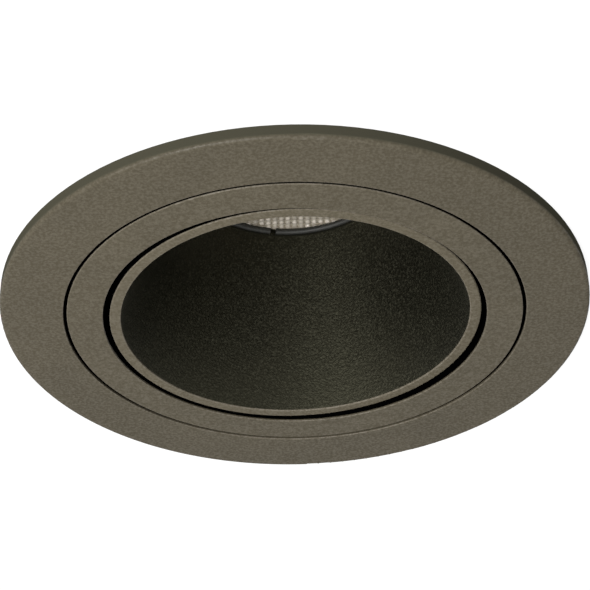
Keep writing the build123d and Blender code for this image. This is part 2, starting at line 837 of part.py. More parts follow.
clip_bracket = make_clip_bracket()
clip_pin = make_clip_pin()
clip_arm = make_clip_arm()
clip_sleeve = make_clip_sleeve()
clip_spring = make_clip_spring()
friction_washer = make_pivot_washer(pivot_washer_radius, boss_face + running_gap, pivot_washer_thickness)
spring_washer = make_pivot_washer(spring_washer_radius, spring_washer_face, spring_washer_thickness)
o_ring = ring(
    ring_seal_inner + ring_seal_play,
    neck_bore - seat_gap,
    ring_seal_bottom + ring_seal_play,
    ring_seal_top - ring_seal_play,
)
half_board = board_side / 2
board_span = (-half_board, half_board)

pieces = {
    "bezel": make_bezel(),
    "ceiling_gasket": ring(gasket_inner + seat_gap, gasket_outer - seat_gap, -gasket_thickness, 0),
    "slide_ring_lower": ring(slide_ring_inner, slide_ring_outer, 0, slide_ring_thickness),
    "slide_ring_upper": ring(
        slide_ring_inner, slide_ring_outer, upper_slide_bottom, upper_slide_bottom + slide_ring_thickness
    ),
    "circlip": make_circlip(),
    "stop_pin": Rot(0, 0, stop_azimuth)
    * Pos(0, 0, stop_pin_z)
    * along_x(stop_pin_radius, stop_pin_inner, collar_radius - stop_pin_sink),
    "clip_bracket_right": clip_bracket,
    "clip_bracket_left": left_side(clip_bracket),
    "clip_rivets": make_clip_rivets(),
    "clip_pin_right": clip_pin,
    "clip_pin_left": left_side(clip_pin),
    "clip_spring_right": clip_spring,
    "clip_spring_left": left_side(clip_spring),
    "clip_arm_right": clip_arm,
    "clip_arm_left": left_side(clip_arm),
    "clip_sleeve_right": clip_sleeve,
    "clip_sleeve_left": left_side(clip_sleeve),
    "swivel_ring": make_swivel_ring(),
    "trim_rim": head(make_trim_rim()),
    "baffle_cone": head(make_baffle_cone()),
    "pivot_screws": head(both_ends(make_pivot_screw())),
    "pivot_washers": head(both_ends(friction_washer)),
    "pivot_spring_washers": head(both_ends(spring_washer)),
    "snap_ring": head(make_snap_ring()),
    "lens": head(make_lens()),
    "lens_gasket": head(ring(holder_bore, lens_radius, lens_edge_top, lens_gasket_top)),
    "optic_holder": head(ring(holder_bore, lens_radius, lens_gasket_top, spigot_bottom)),
    "led_emitter": head(rod(emitter_radius, emitter_bottom, board_bottom)),
    "led_board": head(block(board_span, board_span, (board_bottom, board_top))),
    "thermal_pad": head(block(board_span, board_span, (board_top, sink_z))),
    "led_clamp": head(make_led_clamp()),
    "led_clamp_screws": head(make_led_clamp_screws()),
    "heat_sink": head(make_heat_sink()),
    "heat_sink_fins": head(make_heat_sink_fins()),
    "heat_sink_o_ring": head(o_ring),
    "heat_sink_screws": head(make_heat_sink_screws()),
    "gland_body": head(make_gland_body()),
    "gland_seal": head(make_gland_seal()),
    "gland_nut": head(make_gland_nut()),
}

os.makedirs("parts", exist_ok=True)
for name, shape in pieces.items():
    export_step(shape, f"parts/{name}.step")

print(f"clip springs: least gap between turns {least_gap(spring_path()):.2f} mm")
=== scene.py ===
import json
import math

import bmesh
import bpy
from mathutils import Matrix, Quaternion, Vector

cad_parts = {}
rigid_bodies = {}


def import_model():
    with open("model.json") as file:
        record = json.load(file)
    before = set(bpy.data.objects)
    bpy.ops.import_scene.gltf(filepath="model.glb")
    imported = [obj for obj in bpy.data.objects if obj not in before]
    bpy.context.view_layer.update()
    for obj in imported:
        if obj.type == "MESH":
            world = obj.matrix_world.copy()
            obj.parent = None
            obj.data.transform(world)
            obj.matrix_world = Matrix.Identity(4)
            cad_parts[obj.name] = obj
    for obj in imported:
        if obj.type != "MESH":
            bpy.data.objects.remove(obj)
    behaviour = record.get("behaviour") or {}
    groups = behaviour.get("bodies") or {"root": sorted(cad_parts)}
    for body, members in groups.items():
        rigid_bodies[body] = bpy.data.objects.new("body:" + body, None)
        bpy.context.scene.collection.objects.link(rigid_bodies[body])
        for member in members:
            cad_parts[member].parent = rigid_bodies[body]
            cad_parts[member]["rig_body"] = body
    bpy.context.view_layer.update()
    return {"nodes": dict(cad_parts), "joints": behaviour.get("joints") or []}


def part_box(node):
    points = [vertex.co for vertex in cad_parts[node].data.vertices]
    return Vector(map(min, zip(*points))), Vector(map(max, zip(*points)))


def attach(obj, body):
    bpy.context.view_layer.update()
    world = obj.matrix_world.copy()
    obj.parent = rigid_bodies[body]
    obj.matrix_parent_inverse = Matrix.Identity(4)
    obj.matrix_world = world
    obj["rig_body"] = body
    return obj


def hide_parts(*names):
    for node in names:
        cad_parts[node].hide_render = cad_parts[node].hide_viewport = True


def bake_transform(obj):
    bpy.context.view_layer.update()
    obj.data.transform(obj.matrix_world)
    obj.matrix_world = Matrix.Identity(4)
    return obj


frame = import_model()
nodes = frame["nodes"]
bpy.context.scene.view_settings.view_transform = "Standard"
mm = 0.001

# Camera: it stands below the ceiling and looks up at the face at a shallow angle, rolled by
# about a degree, as the photograph was taken.
camera_distance = 369.94 * mm
camera_elevation = math.radians(-33.3526)
camera_roll = math.radians(-1.03)
camera_lens = 97.71
camera_film = 36
camera_near = 10 * mm
face_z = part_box("bezel")[0].z
camera_aim = Vector((0.095 * mm, 0, face_z + 8.67 * mm))
camera_way = Vector((0, -math.cos(camera_elevation), math.sin(camera_elevation)))
camera = bpy.data.objects.new("camera", bpy.data.cameras.new("camera"))
camera.data.lens = camera_lens
camera.data.sensor_width = camera_film
camera.data.clip_start = camera_near
camera.location = Vector((0, 0, face_z)) + camera_distance * camera_way
camera_turn = (camera_aim - camera.location).to_track_quat("-Z", "Y")
camera.rotation_mode = "QUATERNION"
camera.rotation_quaternion = camera_turn @ Quaternion((0, 0, 1), camera_roll)
bpy.context.scene.collection.objects.link(camera)
bpy.context.scene.camera = camera


# Ceiling: the plain white panel that the spotlight hangs in, just above the flange's back, with
# a round cut-out for the collar. It shows from below only, so that the works can be seen from
# above, and keeps the lamp below off them.
def verts_among(made):
    """The vertices among what an operator made."""
    return [item for item in made if isinstance(item, bmesh.types.BMVert)]


def grow(bm, edges, size=(1, 1, 1), move=(0, 0, 0)):
    """Extrudes a loop of edges, then sizes it about the Z axis and moves it; gives the new loop."""
    fresh = verts_among(bmesh.ops.extrude_edge_only(bm, edges=edges)["geom"])
    bmesh.ops.scale(bm, vec=size, verts=fresh)
    bmesh.ops.translate(bm, vec=move, verts=fresh)
    loop = set(fresh)
    return [e for e in bm.edges if e.verts[0] in loop and e.verts[1] in loop]


def new_object(name, bm, crease=math.radians(35)):
    """An object at the origin from a finished bmesh, smooth apart from edges past the crease angle."""
    mesh = bpy.data.meshes.new(name)
    bm.to_mesh(mesh)
    bm.free()
    mesh.shade_smooth()
    mesh.set_sharp_from_angle(angle=crease)
    made = bpy.data.objects.new(name, mesh)
    bpy.context.scene.collection.objects.link(made)
    return made


def new_material(name):
    """A node material with its output left open, and its tree."""
    made = bpy.data.materials.new(name)
    made.use_nodes = True
    made.node_tree.nodes.clear()
    return made, made.node_tree


def add(tree, kind, **values):
    """A node in a tree; values name its properties, or its inputs when given as a dictionary."""
    node = tree.nodes.new(kind)
    inputs = values.pop("inputs", {})
    for key, value in values.items():
        setattr(node, key, value)
    for key, value in inputs.items():
        if isinstance(value, bpy.types.NodeSocket):
            tree.links.new(value, node.inputs[key])
        else:
            node.inputs[key].default_value = value
    return node


def calc(tree, operation, *values):
    """One sum of two or three values."""
    return add(tree, "ShaderNodeMath", operation=operation, inputs=dict(enumerate(values))).outputs[0]


def ray_is(tree, *kinds):
    """1 for a ray of one of these kinds."""
    path = add(tree, "ShaderNodeLightPath").outputs
    found = path["Is " + kinds[0] + " Ray"]
    for kind in kinds[1:]:
        found = calc(tree, "MAXIMUM", found, path["Is " + kind + " Ray"])
    return found


white = (1, 1, 1, 1)
ceiling_gap = 0.3 * mm
ceiling_reach = 3.0
ceiling_glow = 0.92
ceiling_grey = (0.2, 0.2, 0.2, 1)
cutout_radius = 60 * mm
cutout_sides = 128
bm = bmesh.new()
bmesh.ops.create_circle(bm, cap_ends=False, segments=cutout_sides, radius=cutout_radius)
spread = ceiling_reach / cutout_radius
grow(bm, bm.edges[:], size=(spread, spread, 1))
bmesh.ops.translate(bm, vec=(0, 0, ceiling_gap), verts=bm.verts)
bmesh.ops.recalc_face_normals(bm, faces=bm.faces)
if bm.faces[:][0].normal.z > 0:
    bmesh.ops.reverse_faces(bm, faces=bm.faces)
ceiling = new_object("ceiling", bm)
ceiling_paint, tree = new_material("ceiling paint")
glow = add(tree, "ShaderNodeEmission", inputs={"Color": white, "Strength": ceiling_glow})
matt = add(tree, "ShaderNodeBsdfDiffuse", inputs={"Color": ceiling_grey})
panel = add(tree, "ShaderNodeAddShader", inputs={0: glow.outputs[0], 1: matt.outputs[0]})
clear = add(tree, "ShaderNodeBsdfTransparent")
front = calc(tree, "SUBTRACT", 1.0, add(tree, "ShaderNodeNewGeometry").outputs["Backfacing"])
seen = calc(tree, "MULTIPLY", ray_is(tree, "Camera"), front)
solid = calc(tree, "MAXIMUM", seen, ray_is(tree, "Glossy", "Transmission", "Shadow"))
mixed = add(tree, "ShaderNodeMixShader", inputs={0: solid, 1: clear.outputs[0], 2: panel.outputs[0]})
add(tree, "ShaderNodeOutputMaterial", inputs={"Surface": mixed.outputs[0]})
ceiling.data.materials.append(ceiling_paint)


# Studio light: a soft lamp below on the near left, an even pale surround that is brighter from
# below, where the face looks, and two weaker lamps above for the works behind the ceiling. The
# backdrop is white, apart from the dark void that shows where a view goes steeply up through a gap.
def ramp(tree, value, start, end, low=0.0, high=1.0):
    """A value mapped from one span to another and held at its ends."""
    node = add(tree, "ShaderNodeMapRange",
               inputs={"Value": value, "From Min": start, "From Max": end, "To Min": low, "To Max": high})
    return node.outputs[0]


def softbox(name, place, size, power):
    """A square soft lamp that faces the object."""
    lamp = bpy.data.lights.new(name, "AREA")
    lamp.size = size
    lamp.energy = power
    made = bpy.data.objects.new(name, lamp)
    made.location = place
    made.rotation_mode = "QUATERNION"
    made.rotation_quaternion = (-Vector(place)).to_track_quat("-Z", "Y")
    bpy.context.scene.collection.objects.link(made)


light_from_below = 0.4
light_from_side = 0.04
light_from_above = 0.24
below_full, below_end = -0.8, -0.1
above_start, above_full = 0.0, 0.4
void_start, void_full = 0.24, 0.3
world = bpy.data.worlds.new("studio")
bpy.context.scene.world = world
world.use_nodes = True
tree = world.node_tree
tree.nodes.clear()
way = add(tree, "ShaderNodeTexCoord").outputs["Generated"]
height = add(tree, "ShaderNodeSeparateXYZ", inputs={0: way}).outputs["Z"]
below = ramp(tree, height, below_full, below_end, light_from_below, light_from_side)
level = ramp(tree, height, above_start, above_full, below, light_from_above)
surround = add(tree, "ShaderNodeBackground", inputs={"Color": white, "Strength": level})
void = calc(tree, "MULTIPLY", ramp(tree, height, void_start, void_full), ray_is(tree, "Camera"))
bright = calc(tree, "SUBTRACT", 1.0, void)
backdrop = add(tree, "ShaderNodeBackground", inputs={"Color": white, "Strength": bright})
shown = ray_is(tree, "Camera", "Glossy", "Transmission")
mixed = add(tree, "ShaderNodeMixShader", inputs={0: shown, 1: surround.outputs[0], 2: backdrop.outputs[0]})
add(tree, "ShaderNodeOutputWorld", inputs={"Surface": mixed.outputs[0]})
softbox("key_lamp", place=(-0.23, -0.34, -0.38), size=0.28, power=2.9)
softbox("upper_lamp_right", place=(0.75, -0.45, 0.5), size=1.2, power=2.1)
softbox("upper_lamp_left", place=(-0.7, 0.5, 0.55), size=1.2, power=1.6)


# Bezel: one casting with the flange that shows under the ceiling and the collar behind it.
# It is finished in a fine, sandy bronze powder coat, with painted highlights on the lips of its
# edges; the walls of its gaps are painted black as painted shade, and its outer wall a matt bronze
# painted paler and greener as painted light.
def new_group(name, inputs, outputs):
    """A shader node group with named sockets, and its input and output nodes."""
    group = bpy.data.node_groups.new(name, "ShaderNodeTree")
    for title, kind in inputs.items():
        group.interface.new_socket(title, in_out="INPUT", socket_type="NodeSocket" + kind)
    for title, kind in outputs.items():
        group.interface.new_socket(title, in_out="OUTPUT", socket_type="NodeSocket" + kind)
    return group, group.nodes.new("NodeGroupInput").outputs, group.nodes.new("NodeGroupOutput").inputs


def mix_colour(tree, share, first, second):
    """A colour between two others."""
    node = add(tree, "ShaderNodeMix", data_type="RGBA", inputs={0: share, 6: first, 7: second})
    return node.outputs[2]


def vector_calc(tree, operation, *values, out="Vector"):
    """One sum of vectors, which gives a vector or, as its Value, a number."""
    node = add(tree, "ShaderNodeVectorMath", operation=operation, inputs=dict(enumerate(values)))
    return node.outputs[out]


def from_axis(tree, place):
    """How far a place lies from the Z axis, and its height along it."""
    radius = vector_calc(tree, "LENGTH", vector_calc(tree, "MULTIPLY", place, (1, 1, 0)), out="Value")
    return radius, add(tree, "ShaderNodeSeparateXYZ", inputs={0: place}).outputs["Z"]


fine_grain, given, result = new_group(
    "fine grain",
    {"Place": "Vector", "Body": "Color", "Pale grain": "Color", "Dark grain": "Color",
     "Grains per metre": "Float", "Least roughness": "Float", "Most roughness": "Float"},
    {"Colour": "Color", "Roughness": "Float", "Height": "Float"},
)
grain_detail, grain_breakup = 3.0, 0.65
pale_span, dark_span, gloss_span = (0.5, 0.76), (0.5, 0.26), (0.3, 0.7)
clouds_per_metre, cloud_detail = 70.0, 2.0
cloud_span, cloud_shade = (0.3, 0.7), (0.95, 1.05)
grain = add(fine_grain, "ShaderNodeTexNoise",
            inputs={"Vector": given["Place"], "Scale": given["Grains per metre"],
                    "Detail": grain_detail, "Roughness": grain_breakup}).outputs["Fac"]
cloud = add(fine_grain, "ShaderNodeTexNoise",
            inputs={"Vector": given["Place"], "Scale": clouds_per_metre,
                    "Detail": cloud_detail}).outputs["Fac"]
colour = mix_colour(fine_grain, ramp(fine_grain, grain, *pale_span), given["Body"], given["Pale grain"])
colour = mix_colour(fine_grain, ramp(fine_grain, grain, *dark_span), colour, given["Dark grain"])
clouded = add(fine_grain, "ShaderNodeVectorMath", operation="SCALE",
              inputs={0: colour, "Scale": ramp(fine_grain, cloud, *cloud_span, *cloud_shade)}).outputs[0]
gloss = ramp(fine_grain, grain, *gloss_span, given["Least roughness"], given["Most roughness"])
fine_grain.links.new(clouded, result["Colour"])
fine_grain.links.new(gloss, result["Roughness"])
fine_grain.links.new(grain, result["Height"])


def grained(name, body, pale, dark, grains, rough, bump, metallic=0.0, specular=0.5, stretch=(1, 1, 1)):
    """A finish whose colour, gloss and relief follow one fine grain, with so many grains per metre.

    Its roughness runs between two values, and its bump has a strength and a height.
    """
    made, tree = new_material(name)
    place = add(tree, "ShaderNodeTexCoord").outputs["Object"]
    place = add(tree, "ShaderNodeMapping", inputs={"Vector": place, "Scale": stretch}).outputs[0]
    skin = add(tree, "ShaderNodeGroup", node_tree=fine_grain,
               inputs={"Place": place, "Body": (*body, 1), "Pale grain": (*pale, 1), "Dark grain": (*dark, 1),
                       "Grains per metre": grains, "Least roughness": rough[0],
                       "Most roughness": rough[1]}).outputs
    relief = add(tree, "ShaderNodeBump",
                 inputs={"Strength": bump[0], "Distance": bump[1], "Height": skin["Height"]})
    shader = add(tree, "ShaderNodeBsdfPrincipled",
                 inputs={"Base Color": skin["Colour"], "Roughness": skin["Roughness"], "Metallic": metallic,
                         "Specular IOR Level": specular, "Normal": relief.outputs[0]})
    add(tree, "ShaderNodeOutputMaterial", inputs={"Surface": shader.outputs[0]})
    return made


def opened(finish):
    """The tree and the shader of a grained finish, for what is added to it."""
    tree = finish.node_tree
    return tree, next(node for node in tree.nodes if node.type == "BSDF_PRINCIPLED")


def fed_by(socket):
    """The output that an input is linked to."""
    return socket.links[0].from_socket


ring_edges, given, result = new_group(
    "ring edges",
    {"Place": "Vector", "Inner radius": "Float", "Outer radius": "Float", "Face height": "Float",
     "Inner edge": "Float", "Outer edge": "Float", "Inner depth": "Float", "Outer depth": "Float"},
    {"Inner lip": "Float", "Outer lip": "Float", "Inner wall": "Float", "Outer wall": "Float"},
)
edge_fade = 0.5
wall_span = (0.6, 0.8)
radius, height = from_axis(ring_edges, given["Place"])
for side, operation in (("Inner", "ADD"), ("Outer", "SUBTRACT")):
    limit = given[side + " radius"]
    width = given[side + " edge"]
    near = ramp(ring_edges, radius, calc(ring_edges, operation, limit, width), limit)
    back = calc(ring_edges, "ADD", given["Face height"], width)
    front = ramp(ring_edges, height, calc(ring_edges, "MULTIPLY_ADD", width, edge_fade, back), back)
    ring_edges.links.new(calc(ring_edges, "MULTIPLY", near, front), result[side + " lip"])
    deep = calc(ring_edges, "ADD", given["Face height"], given[side + " depth"])
    behind = ramp(ring_edges, height, deep, calc(ring_edges, "MULTIPLY_ADD", width, edge_fade, deep))
    wall = calc(ring_edges, "MULTIPLY", ramp(ring_edges, near, *wall_span), behind)
    ring_edges.links.new(wall, result[side + " wall"])


def own_place(tree, place):
    """Object coordinates in the frame of a piece that stands turned or shifted."""
    found = add(tree, "ShaderNodeTexCoord").outputs["Object"]
    back = place.inverted()
    return add(tree, "ShaderNodeMapping",
               inputs={"Vector": found, "Location": back.to_translation(),
                       "Rotation": back.to_euler()}).outputs[0]


# Painted light and shade on the bronze: the pale lip colour is a painted highlight, the black is painted
# shade on the walls of the gaps, and the wall colour is painted paler and greener than the face to stand in
# for the light on the flange's outer wall.
bronze = Vector((0.1, 0.0855, 0.057))
bronze_pale, bronze_dark = 1.2, 0.83
painted_lip_highlight = (0.22, 0.194, 0.15, 1)
wall_painted_light = (0.101, 0.095, 0.067, 1)
painted_gap_shade = (0.001, 0.001, 0.001, 1)
satin_span, satin_weight = (0.42, 0.62), (0.3, 0.75)
satin_roughness = 0.48
lip_span, lip_share = (0.38, 0.58), (0.35, 0.95)


def bronze_ring(name, light, sizes, highlit_lips, gap_walls, plain_walls=(), place=Matrix()):
    """The satin bronze coat on one ring, lightened by a factor as painted light, with painted highlights on
    its lips, painted black shade on the walls of its gaps and a matt bronze painted paler on its plain walls
    as painted light.
    """
    coat = bronze * light
    made = grained(name, coat, coat * bronze_pale, coat * bronze_dark, grains=1500.0, rough=(0.6, 0.8),
                   bump=(0.36, 0.12 * mm), specular=0.0)
    tree, shader = opened(made)
    masks = add(tree, "ShaderNodeGroup", node_tree=ring_edges,
                inputs={"Place": own_place(tree, place), **sizes}).outputs
    colour = fed_by(shader.inputs["Base Color"])
    grain = fed_by(fed_by(shader.inputs["Normal"]).node.inputs["Height"])
    satin = ramp(tree, grain, *satin_span, *satin_weight)
    # Painted highlights on the lips, painted black shade on the gap walls and painted light on the plain
    # walls; neither wall gets the satin coat.
    for lip in highlit_lips:
        share = calc(tree, "MULTIPLY", masks[lip], ramp(tree, grain, *lip_span, *lip_share))
        colour = mix_colour(tree, share, colour, painted_lip_highlight)
    walls = {wall: painted_gap_shade for wall in gap_walls} | {wall: wall_painted_light for wall in plain_walls}
    for wall, shade in walls.items():
        colour = mix_colour(tree, masks[wall], colour, shade)
        satin = calc(tree, "MULTIPLY", satin, calc(tree, "SUBTRACT", 1.0, masks[wall]))
    tree.links.new(colour, shader.inputs["Base Color"])
    tree.links.new(satin, shader.inputs["Coat Weight"])
    shader.inputs["Coat Roughness"].default_value = satin_roughness
    return made


def dress(finish, *names):
    """Gives CAD nodes a finish."""
    for name in names:
        nodes[name].data.materials.clear()
        nodes[name].data.materials.append(finish)


flange_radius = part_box("bezel")[1].x
flange_edge = 0.9 * mm
opening_radius = 53.2 * mm
opening_lit = 0.6 * mm
gap_edge = 0.25 * mm
bezel_sizes = {"Inner radius": opening_radius, "Outer radius": flange_radius, "Face height": face_z,
               "Inner edge": gap_edge, "Outer edge": flange_edge, "Inner depth": opening_lit,
               "Outer depth": flange_edge / 2}
bezel_bronze = bronze_ring("bronze coat on bezel", 1.0, bezel_sizes, highlit_lips=["Inner lip"],
                           gap_walls=["Inner wall"], plain_walls=["Outer wall"])
dress(bezel_bronze, "bezel")


def stand_in(piece, finish, *names):
    """Puts a modelled piece with a finish in the place of CAD nodes, on their body, and hides the nodes."""
    piece.data.materials.append(finish)
    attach(piece, nodes[names[0]]["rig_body"])
    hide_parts(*names)


gasket_low, gasket_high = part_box("ceiling_gasket")
gasket_width = 4.46 * mm
gasket_height = gasket_high.z - gasket_low.z
gasket_middle = Vector((gasket_high.x - gasket_width / 2, 0, (gasket_low.z + gasket_high.z) / 2))
gasket_corner = 0.4 * mm
gasket_corner_steps = 4
gasket_steps = 160
pores_per_metre = 2200.0
pore_strength, pore_depth = 0.7, 0.2 * mm
bm = bmesh.new()
bmesh.ops.create_grid(bm, x_segments=1, y_segments=1, size=0.5)
bmesh.ops.scale(bm, vec=(gasket_width, gasket_height, 1), verts=bm.verts)
bmesh.ops.rotate(bm, matrix=Matrix.Rotation(math.radians(90), 3, "X"), verts=bm.verts)
bmesh.ops.translate(bm, vec=gasket_middle, verts=bm.verts)
bmesh.ops.bevel(bm, geom=bm.verts[:], offset=gasket_corner, segments=gasket_corner_steps, profile=0.5,
                affect="VERTICES", material=-1)
bmesh.ops.delete(bm, geom=bm.faces[:], context="FACES_ONLY")
bmesh.ops.spin(bm, geom=bm.verts[:] + bm.edges[:], axis=(0, 0, 1), cent=(0, 0, 0), angle=math.tau,
               steps=gasket_steps, use_merge=True)
bmesh.ops.recalc_face_normals(bm, faces=bm.faces)
gasket = new_object("foam_gasket", bm)
foam = grained("black foam", body=(0.02, 0.02, 0.019), pale=(0.05, 0.05, 0.047), dark=(0.008, 0.008, 0.008),
               grains=900.0, rough=(0.8, 0.95), bump=(0.2, 0.1 * mm), specular=0.2)
tree, shader = opened(foam)
place = add(tree, "ShaderNodeTexCoord").outputs["Object"]
cells = add(tree, "ShaderNodeTexVoronoi", inputs={"Scale": pores_per_metre, "Vector": place})
pores = add(tree, "ShaderNodeBump",
            inputs={"Strength": pore_strength, "Distance": pore_depth, "Height": cells.outputs["Distance"]})
tree.links.new(pores.outputs[0], shader.inputs["Normal"])
stand_in(gasket, foam, "ceiling_gasket")

# Slide rings: two thin washers of black nylon, under and over the swivel ring's flange, so that
# it turns smoothly on the bezel's ledge.
black_nylon = grained("black nylon", body=(0.02, 0.02, 0.021), pale=(0.042, 0.042, 0.044),
                      dark=(0.011, 0.011, 0.012), grains=1800.0, rough=(0.42, 0.6), bump=(0.3, 0.05 * mm),
                      specular=0.45)
dress(black_nylon, "slide_ring_lower", "slide_ring_upper")

# Swivel ring: the flush middle ring that turns in the bezel, with an ear on each side for the
# head. It is cast and coated like the bezel.
swivel_bore = 44.2 * mm
swivel_radius = 52.4 * mm
swivel_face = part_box("swivel_ring")[0].z
bore_lit = 0.5 * mm
swivel_sizes = {"Inner radius": swivel_bore, "Outer radius": swivel_radius, "Face height": swivel_face,
                "Inner edge": gap_edge, "Outer edge": gap_edge, "Inner depth": bore_lit,
                "Outer depth": gap_edge}
# Its coat is painted 1.07 times as light as the bezel's, as painted light.
swivel_bronze = bronze_ring("bronze coat on swivel ring", 1.07, swivel_sizes,
                            highlit_lips=["Inner lip", "Outer lip"], gap_walls=["Inner wall", "Outer wall"])
dress(swivel_bronze, "swivel_ring")

# Circlip and stop pin: the flat spring ring that keeps the swivel ring in the collar, and the
# plated pin that its tab runs against after almost a full turn.
weld_distance = 0.002 * mm
flat_angle = math.radians(0.5)
sharp_angle = math.radians(40)


def even_shading(piece):
    """Lets the large flat faces of a piece lead the shading of its rounded edges."""
    piece.modifiers.new("even shading", "WEIGHTED_NORMAL").keep_sharp = True
    return piece


def eased(name, width, finish):
    """Puts a copy of a CAD node with rounded edges in the node's place."""
    bm = bmesh.new()
    bm.from_mesh(nodes[name].data)
    bmesh.ops.remove_doubles(bm, verts=bm.verts, dist=weld_distance)
    bmesh.ops.dissolve_limit(bm, angle_limit=flat_angle, verts=bm.verts, edges=bm.edges)
    sharp = [e for e in bm.edges if len(e.link_faces) == 2 and e.calc_face_angle() > sharp_angle]
    bmesh.ops.bevel(bm, geom=sharp, offset=width, segments=2, profile=0.5, affect="EDGES", clamp_overlap=True,
                    material=-1)
    stand_in(even_shading(new_object(name + "_eased", bm)), finish, name)


spring_steel = grained("spring steel", body=(0.36, 0.35, 0.33), pale=(0.46, 0.45, 0.43),
                       dark=(0.24, 0.23, 0.22), grains=1400.0, rough=(0.34, 0.5), bump=(0.08, 0.05 * mm),
                       metallic=1.0)
zinc = grained("zinc plate", body=(0.56, 0.57, 0.57), pale=(0.68, 0.68, 0.66), dark=(0.4, 0.41, 0.43),
               grains=500.0, rough=(0.3, 0.48), bump=(0.06, 0.05 * mm), metallic=1.0)
eased("circlip", 0.15 * mm, spring_steel)
dress(zinc, "stop_pin")

# Pivots: two slotted steel screws through the ears into the head's bosses, each on a nylon
# washer, with a wavy spring washer under its head that gives the tilt its friction.
screw_steel = grained("screw steel", body=(0.5, 0.49, 0.47), pale=(0.6, 0.59, 0.57), dark=(0.36, 0.35, 0.34),
                      grains=1600.0, rough=(0.22, 0.36), bump=(0.06, 0.04 * mm), metallic=1.0)
white_nylon = grained("natural nylon", body=(0.7, 0.68, 0.62), pale=(0.78, 0.76, 0.71),
                      dark=(0.58, 0.56, 0.5), grains=900.0, rough=(0.38, 0.5), bump=(0.15, 0.05 * mm),
                      specular=0.45)
eased("pivot_screws", 0.15 * mm, screw_steel)
dress(white_nylon, "pivot_washers")
dress(spring_steel, "pivot_spring_washers")


# Trim rim: the narrow bronze rim pressed over the foot of the cone. It hangs on the pivots and
# rests about a degree off level.
def joint_place(name):
    """Where a joint's axis lies."""
    return Vector(next(joint for joint in frame["joints"] if joint["name"] == name)["pos_m"])


pivot = joint_place("head_tilt")
rest_tilt = math.radians(1)
head_turn = Matrix.Rotation(-rest_tilt, 4, "Y")
head_place = Matrix.Translation(pivot) @ head_turn @ Matrix.Translation(-pivot)
rim_bore = 40.35 * mm
rim_radius = 42.85 * mm
rim_face = face_z + 0.9 * mm
rim_sizes = {"Inner radius": rim_bore, "Outer radius": rim_radius, "Face height": rim_face,
             "Inner edge": gap_edge, "Outer edge": gap_edge, "Inner depth": gap_edge, "Outer depth": gap_edge}
# Its coat is painted 1.3 times as light as the bezel's, as painted light for the light its narrow face
# catches.
rim_bronze = bronze_ring("bronze coat on rim", 1.3, rim_sizes, highlit_lips=["Inner lip", "Outer lip"],
                         gap_walls=["Outer wall"], place=head_place)
dress(rim_bronze, "trim_rim")

# Baffle cone: the deep cone above the rim, with the neck for the lens and lamp on top of it. It
# has the same fine powder coat in black, drier on its back. A thin band at the throat, by the snap
# ring's groove, is painted black and fully rough as painted shadow.
throat_z = rim_face + 44.9 * mm
throat_radius = 26.4 * mm
throat_edge = 0.45 * mm
groove_shadow_radius = 27.2 * mm
groove_shadow_start, groove_shadow_full = throat_z - throat_edge, throat_z - throat_edge * 0.8
groove_shadow_black = (0.0005, 0.0005, 0.0005, 1)
back_start, back_full = rim_bore + 0.8 * mm, rim_bore + 1.2 * mm
back_roughness = 0.85
taper = (rim_bore - throat_radius) / (throat_z - rim_face)
coat_shine = (1, 0.97, 0.66, 1)
black_coat = grained("black powder coat", body=(0.003, 0.0029, 0.002), pale=(0.042, 0.041, 0.029),
                     dark=(0.0005, 0.0005, 0.0004), grains=1900.0, rough=(0.36, 0.5), bump=(1.0, 0.13 * mm),
                     specular=0.51)
tree, shader = opened(black_coat)
shader.inputs["Specular Tint"].default_value = coat_shine
radius, height = from_axis(tree, own_place(tree, head_place))
# Painted shadow: a thin band at the throat, by the snap ring's groove, is painted black.
groove_shadow = calc(tree, "MULTIPLY", ramp(tree, height, groove_shadow_start, groove_shadow_full),
            ramp(tree, radius, groove_shadow_radius, groove_shadow_radius - throat_edge))
colour = mix_colour(tree, groove_shadow, fed_by(shader.inputs["Base Color"]), groove_shadow_black)
foot = calc(tree, "MULTIPLY_ADD", calc(tree, "SUBTRACT", height, rim_face), taper, radius)
dry = ramp(tree, foot, back_start, back_full, 0.0, back_roughness)
gloss = calc(tree, "MAXIMUM", fed_by(shader.inputs["Roughness"]), dry)
tree.links.new(colour, shader.inputs["Base Color"])
tree.links.new(calc(tree, "MAXIMUM", gloss, groove_shadow), shader.inputs["Roughness"])
dress(black_coat, "baffle_cone")

# Lens: one moulding of clear acrylic. Its front is a field of small square pillows with painted
# highlights of random strength on their crowns, its edge a flat flange, and its back a bulging
# collector with a pocket over the lamp.
lens_front = throat_z + 1.6 * mm
lens_radius = 26.2 * mm
lens_edge = 2.0 * mm
lens_weld = 0.001 * mm
pillow_field = 25.2 * mm
pillow_pitch = 1.7 * mm
pillow_count = 32
pillow_shift = Vector((0.1, 0.4, 0)) * mm
pillow_steps = ((0.33 * mm, 0.36 * mm), (0.28 * mm, 0.12 * mm))
pillow_height = sum(rise for inset, rise in pillow_steps)
pillow_valley = math.radians(70)
round_cuts = 72
collector = ((23.5, 2.0), (22.6, 5.0), (20.2, 8.3), (16.2, 11.6), (12.2, 13.6), (8.5, 14.5), (5.6, 14.5),
             (5.6, 9.5))
lens_back = ((lens_radius, lens_edge), *((radius * mm, top * mm) for radius, top in collector))
crown_span, catch_span = (0.44, 0.2), (0.0, 0.7)
painted_crown_glint = (1, 0.9, 0.78, 1)
clear_share = 0.08
acrylic_bend = 1.49
bm = bmesh.new()
bmesh.ops.create_grid(bm, x_segments=pillow_count, y_segments=pillow_count,
                      size=pillow_count * pillow_pitch / 2)
bmesh.ops.reverse_faces(bm, faces=bm.faces)
bmesh.ops.translate(bm, vec=pillow_shift, verts=bm.verts)
tops = bm.faces[:]
